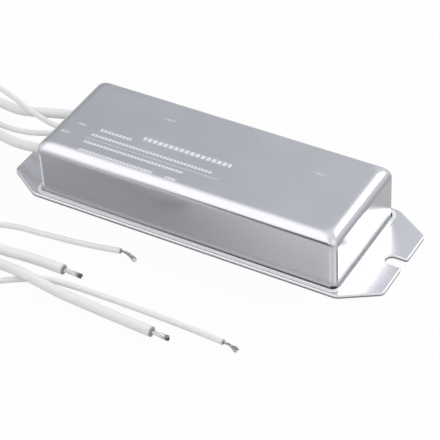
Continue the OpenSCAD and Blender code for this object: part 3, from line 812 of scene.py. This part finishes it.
def strand_tree(material):
    """Geometry nodes: strands laid helically round a line, spreading towards its far end."""
    tree = bpy.data.node_groups.new("stranded core", "GeometryNodeTree")
    g = Graph(tree)
    ports = {
        "Geometry": "Geometry", "Strands": "Int", "Core radius": "Float",
        "Strand radius": "Float", "Lay": "Float", "Spread": "Float", "Seed": "Int",
    }
    for port, kind in ports.items():
        tree.interface.new_socket(port, in_out="INPUT", socket_type="NodeSocket" + kind)
    tree.interface.new_socket("Geometry", in_out="OUTPUT", socket_type="NodeSocketGeometry")
    source = tree.nodes.new("NodeGroupInput")
    given = {port: Wire(g, source.outputs[port]) for port in ports}

    line = g.node(
        "GeometryNodeResampleCurve", {"Curve": given["Geometry"], "Count": LINE_POINTS},
        mode="COUNT")
    strands = g.node(
        "GeometryNodeDuplicateElements", {"Geometry": line, "Amount": given["Strands"]},
        "Geometry", domain="SPLINE")
    number = strands.sister("Duplicate Index")

    def vectors(operation, first, second):
        return g.node("ShaderNodeVectorMath", {0: first, **second}, operation=operation)

    along = g.node("GeometryNodeSplineParameter", output="Factor")
    tangent = g.node("GeometryNodeInputTangent")
    normal = g.node("GeometryNodeInputNormal")
    side = vectors("CROSS_PRODUCT", tangent, {1: normal})
    jitter = g.node(
        "FunctionNodeRandomValue",
        {"Min": -1.0, "Max": 1.0, "ID": number, "Seed": given["Seed"]}, 1, data_type="FLOAT")
    # One strand lies in the middle and the rest go round it
    angle = number / (given["Strands"] - 1) * (2 * math.pi) + along * given["Lay"]
    angle = angle + jitter * STRAY_TURN
    outside = number.at_most(1)
    reach = given["Core radius"] - given["Strand radius"]
    flare = along ** SPREAD_POWER * given["Spread"] * (1 + jitter * STRAY_SPREAD)
    radius = outside * (reach + jitter * reach * STRAY_REACH) + flare
    offset = vectors(
        "ADD", vectors("SCALE", normal, {"Scale": radius * angle.math("COSINE")}),
        {1: vectors("SCALE", side, {"Scale": radius * angle.math("SINE")})})
    moved = g.node("GeometryNodeSetPosition", {"Geometry": strands, "Offset": offset})
    marked = g.node(
        "GeometryNodeStoreNamedAttribute", {"Geometry": moved, "Name": "along", "Value": along},
        data_type="FLOAT", domain="POINT")
    profile = g.node(
        "GeometryNodeCurvePrimitiveCircle",
        {"Resolution": STRAND_SIDES, "Radius": given["Strand radius"]}, mode="RADIUS")
    wires = g.node(
        "GeometryNodeCurveToMesh", {"Curve": marked, "Profile Curve": profile, "Fill Caps": True})
    real = g.node("GeometryNodeRealizeInstances", {"Geometry": wires})
    painted = g.node("GeometryNodeSetMaterial", {"Geometry": real, "Material": material})
    end = tree.nodes.new("NodeGroupOutput")
    tree.links.new(painted.socket, end.inputs["Geometry"])
    return tree


def stranded_core(name, points, tree, node, material, inputs):
    """A stripped end: strands along points, in place of the plain core node."""
    line = smooth_line(name + " line", points)
    modifier = line.modifiers.new("strands", "NODES")
    modifier.node_group = tree
    for item in tree.interface.items_tree:
        if item.in_out == "INPUT" and item.name in inputs:
            modifier[item.identifier] = inputs[item.name]
    piece = piece_from(name, baked(line), material)
    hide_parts(node)
    return piece


def cut_end(name, at, way, diameter, bore, material):
    """The cut face of the insulation: a short ring with a hollow round the core, in a darker finish
    that paints shade on it.
    """
    r = diameter / 2
    stations = (
        (r * 0.985, 0.0), (r * 1.0, 0.10), (r * 0.995, 0.28), (r * 0.93, 0.36),
        (r * 0.80, 0.38), (bore * 1.15, 0.32), (bore, 0.22), (bore, 0.0),
    )
    bm = bmesh.new()
    rings = [ring_of(bm, circle((0, 0), radius, 24), z * MM) for radius, z in stations]
    skin(bm, [*rings, rings[0]])
    turn = Vector(way).normalized().to_track_quat("Z", "Y").to_matrix().to_4x4()
    bmesh.ops.transform(bm, matrix=Matrix.Translation(at) @ turn, verts=bm.verts)
    return mesh_piece(name, bm, material, sharp=50)


def nylon_tie(node, centre, angle, material):
    """A flat strap round both leads of a coil, with a rounded edge, as the CAD node stands."""
    low, high = corners(node)
    bm = bmesh.new()
    bm.from_mesh(frame["nodes"][node].data)
    bmesh.ops.remove_doubles(bm, verts=bm.verts, dist=1e-6)
    bmesh.ops.dissolve_limit(bm, angle_limit=math.radians(1), verts=bm.verts, edges=bm.edges)
    bmesh.ops.bevel(
        bm, geom=[e for e in bm.edges if e.calc_face_angle(0) > math.radians(40)],
        offset=0.1 * MM, segments=2, affect="EDGES", profile=0.6)
    # The lock stands on the strap's outer face, a little below its middle
    way = Vector((math.cos(math.radians(angle)), math.sin(math.radians(angle)), 0))
    middle = Vector((*centre, 0))
    outer = max((v.co - middle).dot(way) for v in bm.verts)
    head = bmesh.ops.create_cube(bm, size=1.0)["verts"]
    turn = Matrix.Rotation(math.radians(angle), 4, "Z")
    size = Matrix.Diagonal((1.6 * MM, 4.0 * MM, 3.2 * MM, 1.0))
    spot = middle + way * (outer + 0.7 * MM) + Vector((0, 0, (low.z + high.z) * 0.38))
    bmesh.ops.transform(bm, matrix=Matrix.Translation(spot) @ turn @ size, verts=head)
    edges = {e for v in head for e in v.link_edges}
    bmesh.ops.bevel(bm, geom=list(edges), offset=0.35 * MM, segments=3, affect="EDGES", profile=0.6)
    piece = mesh_piece(node + "_strap", bm, material)
    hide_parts(node)
    return piece


# Radius of the hollow in a cut end, for each kind of lead
BORES = {"power": 0.72 * MM, "switch": 0.42 * MM}


class RESISTOR_OT_leads(bpy.types.Operator):
    """Lays the four free leads, with their coils, ties and stripped ends"""

    bl_idname = "resistor.leads"
    bl_label = "Leads"

    def execute(self, context):
        leads = context.scene.resistor_leads
        coats = lead_coats(leads)
        # The cut faces are coloured darker than the insulation: painted shade, as they face away
        # from the light
        cuts = {
            "power": moulded_finish(
                "cut thick wall", (0.53, 0.51, 0.47), 0.8, grain=1.6, depth=0.05, dark=0.6),
            "switch": moulded_finish(
                "cut thin wall", (0.70, 0.69, 0.66), 0.8, grain=4.0, depth=0.05, dark=0.7),
        }
        wires = {
            "power": metal_finish(
                "tinned strands", (0.80, 0.79, 0.77), 0.26, (1.0, 4.0, 4.0), dark=0.2, tips=0.85),
            "switch": metal_finish(
                "tarnished strands", (0.50, 0.48, 0.45), 0.30, (1.0, 4.0, 4.0), dark=0.4, tips=0.7),
        }
        strands = {
            kind: {
                "Strands": count, "Core radius": core * MM, "Strand radius": strand * MM,
                "Lay": lay, "Spread": spread * MM,
            }
            for kind, count, core, strand, lay, spread in (
                ("power", leads.power_strands, 0.68, 0.16, 3.2, 0.12),
                ("switch", leads.switch_strands, 0.36, 0.10, 2.4, 0.42),
            )
        }
        trees = {kind: strand_tree(wire) for kind, wire in wires.items()}
        nylon = moulded_finish(
            "nylon tie", (0.78, 0.78, 0.75), 0.4, grain=1.5, depth=0.02, dark=0.92)
        ties = {
            kind: nylon_tie(kind + "_coil_tie", centre, tie_at, nylon)
            for kind, (centre, tie_at) in COILS.items()
        }
        for seed, (name, (*routes, radius, start, stop)) in enumerate(LEADS.items()):
            kind = name.split("_")[0]
            diameter = getattr(leads, kind + "_diameter")
            run, end, bare = (metres(route) for route in routes)
            centre, tie_at = COILS[kind]
            middle = coil(centre, radius * MM, start, stop, diameter, tie_at)
            lead = lead_curve(name, run + middle + end, diameter, coats[kind])
            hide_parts(name + "_run", name + "_coil", name + "_end")
            kind + "_insulation"
            core = stranded_core(
                name + "_strands", bare, trees[kind], name.replace("lead", "core"), wires[kind],
                {**strands[kind], "Seed": seed})
            heading = Vector(end[-1]) - Vector(end[-2])
            ring = cut_end(name + "_cut", end[-1], heading, diameter, BORES[kind], cuts[kind])
            kind + "_insulation"
        return {"FINISHED"}


# ---- the case

# Depth of the groove round the bush, in which the window of the end wall sits
BUSH_GROOVE = 1.2 * MM
BUSH_HALF = (BUSH_HIGH.z - BUSH_LOW.z) / 2
BUSH_MIDDLE = (BUSH_HIGH.z + BUSH_LOW.z) / 2


def ear_outline(case, steps):
    """Outline of the flange and both ears, anticlockwise, with the open slots in it."""
    half_x, half_y = CASE_HIGH.x, CASE_HIGH.y
    taper_x, taper_r, ear_r, mouth_r = case.wall_length / 2 + 1.2 * MM, 4 * MM, 2 * MM, 0.8 * MM
    turn = math.degrees(math.atan((half_y - case.ear_width / 2) / (half_x - taper_x)))
    slot_x, slot_r = case.slot_pitch / 2, case.slot_width / 2
    end_tangent = ear_r * math.tan(math.radians((90 - turn) / 2))
    side_tangent = taper_r * math.tan(math.radians(turn / 2))
    quarter = arc((slot_x, 0.0), slot_r, 180, 90, steps)
    quarter += arc((half_x - mouth_r, slot_r + mouth_r), mouth_r, -90, 0, steps // 2)
    quarter += arc((half_x - ear_r, case.ear_width / 2 - end_tangent), ear_r, 0, 90 - turn, steps)
    quarter += arc((taper_x - side_tangent, half_y - taper_r), taper_r, 90 - turn, 90, steps)
    upper = quarter + [(-x, y) for x, y in reversed(quarter)]
    return upper + [(-x, -y) for x, y in upper]


def case_ring(bm, case, inset, z, radius):
    """The walls' plan at a height, this far inside their outer face."""
    half_x, half_y = case.wall_length / 2 - inset, case.wall_width / 2 - inset
    return ring_of(bm, rounded_box(half_x, half_y, radius, case.arc_steps), z)


def foot_stations(case):
    """Land, the fine groove that the draw die's edge presses in beside it, and the wall's foot."""
    land, low = case.sheet + case.land_height, case.sheet
    return [
        (case.land_width + 0.14 * MM, low), (case.land_width, low),
        (case.land_width - 0.08 * MM, land), (case.land_width - 0.22 * MM, land),
        (0.52 * MM, land), (0.44 * MM, land), (0.36 * MM, land - 0.06 * MM),
        (0.24 * MM, low - 0.10 * MM), (0.12 * MM, low - 0.14 * MM), (0.02 * MM, low - 0.06 * MM),
        (0.0, low + 0.04 * MM), (0.0, low + 0.4 * MM),
    ]


def wall_rings(bm, case, depth):
    """Rings from the foot to the top of the hat's skin, depth inside its outer face."""
    steps = case.arc_steps
    foot, top = case.foot_radius + depth, case.top_radius - depth
    foot_z, fillet_z = case.sheet + case.foot_radius, CASE_HIGH.z - case.top_radius
    corner, straight = case.corner_radius - depth, 0.4 * MM
    if depth:
        stations = [
            (x, z, case.corner_radius - x)
            for x, z in arc((depth - foot, foot_z), foot, -90, 0, steps // 2)]
    else:
        stations = [(-out, z, case.corner_radius + out) for out, z in foot_stations(case)]
    stations += [(depth, foot_z + straight, corner), (depth, fillet_z - straight, corner)]
    stations += [
        (x, z, corner + 0.5 * (x - depth))
        for x, z in arc((depth + top, fillet_z), top, 180, 90, steps)]
    # Two more rings on the flat top keep the shading of the round edge off it
    last, top_z = depth + top, stations[-1][1]
    stations += [
        (last + inside, top_z, corner + 0.5 * top + inside * 0.3)
        for inside in (0.6 * MM, 3.0 * MM)]
    return [case_ring(bm, case, *station) for station in stations]


class RESISTOR_OT_case(bpy.types.Operator):
    """Presses the case: a filleted hat on a flat flange with two slotted ears"""

    bl_idname = "resistor.case"
    bl_label = "Case"

    def execute(self, context):
        case = context.scene.resistor_case
        sheet = case.sheet
        bm = bmesh.new()
        outline = ear_outline(case, case.arc_steps)
        # Sheared edge: rolled over at the top, square below
        edge = [
            ring_of(bm, grown(outline, out), z) for out, z in (
                (-0.30 * MM, 0.0), (-0.02 * MM, 0.0), (0.0, 0.04 * MM), (0.0, sheet - 0.24 * MM),
                (-0.05 * MM, sheet - 0.10 * MM), (-0.14 * MM, sheet - 0.025 * MM),
                (-0.26 * MM, sheet), (-0.50 * MM, sheet),
            )
        ]
        outer, inner = wall_rings(bm, case, 0.0), wall_rings(bm, case, sheet)
        for rings in (edge, outer, inner):
            skin(bm, rings)
        sheet_between(bm, edge[-1], outer[0])
        sheet_between(bm, edge[0], inner[0])
        bm.faces.new(outer[-1])
        bm.faces.new(inner[-1])
        finish = aluminium_finish(tuple(case.metal), tuple(case.print_ink))
        piece = mesh_piece("case_pressing", bm, finish)

        # The bush's window is cut from outside the ear's end to well inside the wall
        cutter_mesh = bmesh.new()
        window = stadium(BUSH_HIGH.y - BUSH_HALF, BUSH_HALF - BUSH_GROOVE, 16)
        sides = [
            upright_ring(cutter_mesh, window, x, BUSH_MIDDLE)
            for x in (CASE_LOW.x, CASE_LOW.x + 17 * MM)
        ]
        skin(cutter_mesh, sides)
        for side in sides:
            cutter_mesh.faces.new(side)
        bmesh.ops.recalc_face_normals(cutter_mesh, faces=cutter_mesh.faces)
        cutter = linked("window", mesh_of("window", cutter_mesh))
        modifier = piece.modifiers.new("window", "BOOLEAN")
        modifier.operation, modifier.solver, modifier.object = "DIFFERENCE", "EXACT", cutter
        mesh = baked(piece)
        bpy.data.objects.remove(cutter)
        piece = piece_from("case_pressing", mesh, finish)
        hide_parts("housing")
        return {"FINISHED"}


class RESISTOR_OT_bush(bpy.types.Operator):
    """Moulds the rubber bush, with rounded lips and a groove that holds the end wall"""

    bl_idname = "resistor.bush"
    bl_label = "Lead bush"

    def execute(self, context):
        case = context.scene.resistor_case
        rubber = moulded_finish(
            "moulded rubber", (0.62, 0.60, 0.55), 0.55, grain=3.0, depth=0.03, dark=0.85)
        half, lip, steps = BUSH_HIGH.y - BUSH_HALF, 0.4 * MM, 20
        face_r, groove_r = BUSH_HALF - 1.4 * MM, BUSH_HALF - BUSH_GROOVE
        wall_out = -case.wall_length / 2
        wall_in = wall_out + case.sheet
        rounded = arc((0, 0), lip, 0, 90, 5)
        stations = [
            (BUSH_LOW.x, face_r),
            *((BUSH_LOW.x + lip - x, BUSH_HALF - lip + r) for x, r in rounded),
            (wall_out, BUSH_HALF), (wall_out, groove_r), (wall_in, groove_r), (wall_in, BUSH_HALF),
            *((BUSH_HIGH.x - lip + x, BUSH_HALF - lip + r) for r, x in rounded),
            (BUSH_HIGH.x, face_r),
        ]
        bm = bmesh.new()
        rings = [
            upright_ring(bm, stadium(half, radius, steps), x, BUSH_MIDDLE)
            for x, radius in stations
        ]
        skin(bm, rings)
        bores = []
        for node in ("power_tail_1", "power_tail_2", "switch_tail_1", "switch_tail_2"):
            low, high = corners(node)
            centre = (low + high) / 2
            plan = circle((centre.y, centre.z), (high.z - low.z) / 2, steps)
            bores.append([upright_ring(bm, plan, x) for x in (BUSH_LOW.x, BUSH_HIGH.x)])
            skin(bm, bores[-1])
        for ring, *holes in zip((rings[0], rings[-1]), *bores):
            sheet_between(bm, ring, *holes)
        piece = mesh_piece("bush_moulding", bm, rubber, sharp=40)
        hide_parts("lead_bush")
        return {"FINISHED"}


# ---- what the case holds


class RESISTOR_OT_filling(bpy.types.Operator):
    """Finishes the cement, the wound element, the thermal switch and the inner leads"""

    bl_idname = "resistor.filling"
    bl_label = "Filling and element"

    def execute(self, context):
        coats = lead_coats(context.scene.resistor_leads, "inner ")
        finishes = {
            "cement": cement_finish(),
            "mica": mica_finish(),
            "resistance_alloy": metal_finish("resistance ribbon", (0.30, 0.27, 0.25), 0.38),
            "tinned_metal": metal_finish("tinned copper", (0.66, 0.65, 0.62), 0.3),
            "insulating_sleeve": moulded_finish(
                "glass braid", (0.72, 0.70, 0.60), 0.8, grain=5.0, depth=0.1, sheen=0.3),
            "switch_steel": metal_finish("switch steel", (0.42, 0.42, 0.44), 0.34),
            "phenolic": moulded_finish(
                "phenolic moulding", (0.09, 0.045, 0.03), 0.35, grain=2.0, depth=0.02),
            "bimetal": metal_finish("bimetal strip", (0.50, 0.42, 0.28), 0.3),
            "contact_silver": metal_finish("silver contact", (0.80, 0.79, 0.76), 0.22, dark=0.6),
            "power_insulation": coats["power"],
            "switch_insulation": coats["switch"],
        }
        slots = {entry["node"]: entry["material_slot"] for entry in frame["record"]["subparts"]}
        for node, piece in frame["nodes"].items():
            finish = finishes.get(slots[node])
            if finish and not piece.hide_render:
                piece.data.materials.clear()
                piece.data.materials.append(finish)
        return {"FINISHED"}


# ---- floor and light

WHITE = (1.0, 1.0, 1.0)
# Light that falls on the part from all round, as a share of the room that it mirrors
FILL = 0.70


def background_rays(graph):
    """1 for the rays that show the background, and 1 for the camera's own among them."""
    camera = graph.node("ShaderNodeLightPath", output="Is Camera Ray")
    mirrored = (camera.sister(name) for name in ("Is Glossy Ray", "Is Transmission Ray"))
    return largest([camera, *mirrored]), camera


def paper_finish():
    """White paper: it keeps a soft shadow, clearer in what metal mirrors of it."""
    f = Finish("white paper")
    seen, camera = background_rays(f)
    matt = f.node("ShaderNodeBsdfDiffuse", {"Color": (0.78, 0.78, 0.78, 1.0)})
    white = f.node("ShaderNodeEmission", {"Color": (*WHITE, 1.0), "Strength": 1.0})
    share = seen * 0.06 + camera * 0.89
    both = f.node("ShaderNodeMixShader", {0: share, 1: matt, 2: white})
    f.node("ShaderNodeOutputMaterial", {"Surface": both})
    return f.material


def room(tree):
    """A white background to the camera; to metal a pale room, greyest behind the lead end."""
    g = Graph(tree)
    seen, camera = background_rays(g)
    x, y, z = g.node("ShaderNodeTexCoord", output="Generated").parts()
    forward = 0 - y
    back_wall = g.mix(x.above(-0.62, -0.05), (0.43, 0.46, 0.50), (0.95, 0.98, 1.0))
    # The front wall: a lit window above a plain wall ahead, and paler to both sides
    lit = g.mix(1 - z.above(0.05, 0.55), (1.62, 1.62, 1.66), (1.18, 1.14, 1.22))
    ahead = x.band((-0.85, -0.6), (-0.30, 0.15))
    front_wall = g.mix(ahead, (1.04, 1.04, 1.07), lit)
    tone = g.mix(forward.above(-0.50, -0.05), back_wall, front_wall)
    # A dark skirting runs along the foot of the front wall
    skirting = (1 - z.above(0.15, 0.23)) * forward.above(0.3, 0.5) * x.above(-0.47, -0.41)
    tone = g.mix(skirting * 0.95, tone, (0.03, 0.03, 0.03))
    tone = g.mix(camera, tone, WHITE)
    sky = g.node(
        "ShaderNodeBackground", {"Color": tone, "Strength": FILL + seen * (1.0 - FILL)})
    g.node("ShaderNodeOutputWorld", {"Surface": sky})


def soft_box(name, way, distance, size, brightness):
    """A square lamp that faces the object; a brightness of 1 mirrors as white."""
    data = bpy.data.lights.new(name, "AREA")
    data.shape, data.size, data.size_y = "RECTANGLE", size, size
    data.energy = brightness * math.pi * size * size
    lamp = linked(name, data)
    back = Vector(way).normalized()
    side = Vector((1.0, 0.0, 0.0))
    side = (side - back * side.dot(back)).normalized()
    turn = Matrix((side, back.cross(side), back)).transposed()
    lamp.matrix_world = Matrix.Translation(back * distance) @ turn.to_4x4()
    lamp.visible_camera = False


class RESISTOR_OT_stage(bpy.types.Operator):
    """Lays the paper floor and sets the lamps and the surrounding light"""

    bl_idname = "resistor.stage"
    bl_label = "Floor and light"

    def execute(self, context):
        bm = bmesh.new()
        bmesh.ops.create_grid(bm, x_segments=1, y_segments=1, size=4.0)
        floor = linked("floor", mesh_of("floor", bm))
        floor.data.materials.append(paper_finish())
        # A hair below the lowest point, so that nothing cuts through it
        floor.location.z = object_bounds()[0][2] - 0.02 * MM
        floor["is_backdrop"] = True

        world = bpy.data.worlds.new("studio")
        world.use_nodes = True
        context.scene.world = world
        room(world.node_tree)

        # A strong lamp high behind the right end, and a weak one at the front right
        soft_box("back right box", (0.40, 0.65, 0.645), 1.0, 0.5, brightness=4.2)
        soft_box("front right box", (0.66, -0.26, 0.62), 0.55, 0.36, brightness=0.35)
        return {"FINISHED"}


class RESISTOR_PT_panel(bpy.types.Panel):
    """Lists the steps that build the resistor"""

    bl_label = "Resistor"
    bl_idname = "RESISTOR_PT_panel"
    bl_space_type = "VIEW_3D"
    bl_region_type = "UI"
    bl_category = "Resistor"

    def draw(self, context):
        for step in STEPS:
            self.layout.operator(step.bl_idname)
        for group in GROUPS:
            settings = getattr(context.scene, group)
            box = self.layout.box()
            for name in settings.__annotations__:
                box.prop(settings, name)


GROUPS = {
    "resistor_case": ResistorCase, "resistor_leads": ResistorLeads,
    "resistor_studio": ResistorStudio,
}
# In the order in which they are made
STEPS = (
    RESISTOR_OT_camera, RESISTOR_OT_leads, RESISTOR_OT_case, RESISTOR_OT_bush,
    RESISTOR_OT_filling, RESISTOR_OT_stage,
)
CLASSES = (*GROUPS.values(), *STEPS, RESISTOR_PT_panel)


def register():
    for each in CLASSES:
        bpy.utils.register_class(each)
    for name, group in GROUPS.items():
        setattr(bpy.types.Scene, name, PointerProperty(type=group))


def unregister():
    for name in GROUPS:
        delattr(bpy.types.Scene, name)
    for each in reversed(CLASSES):
        bpy.utils.unregister_class(each)


def main():
    register()
    bpy.ops.resistor.camera()
    bpy.ops.resistor.leads()
    bpy.ops.resistor.case()
    bpy.ops.resistor.bush()
    bpy.ops.resistor.filling()
    bpy.ops.resistor.stage()


if __name__ == "__main__":
    main()
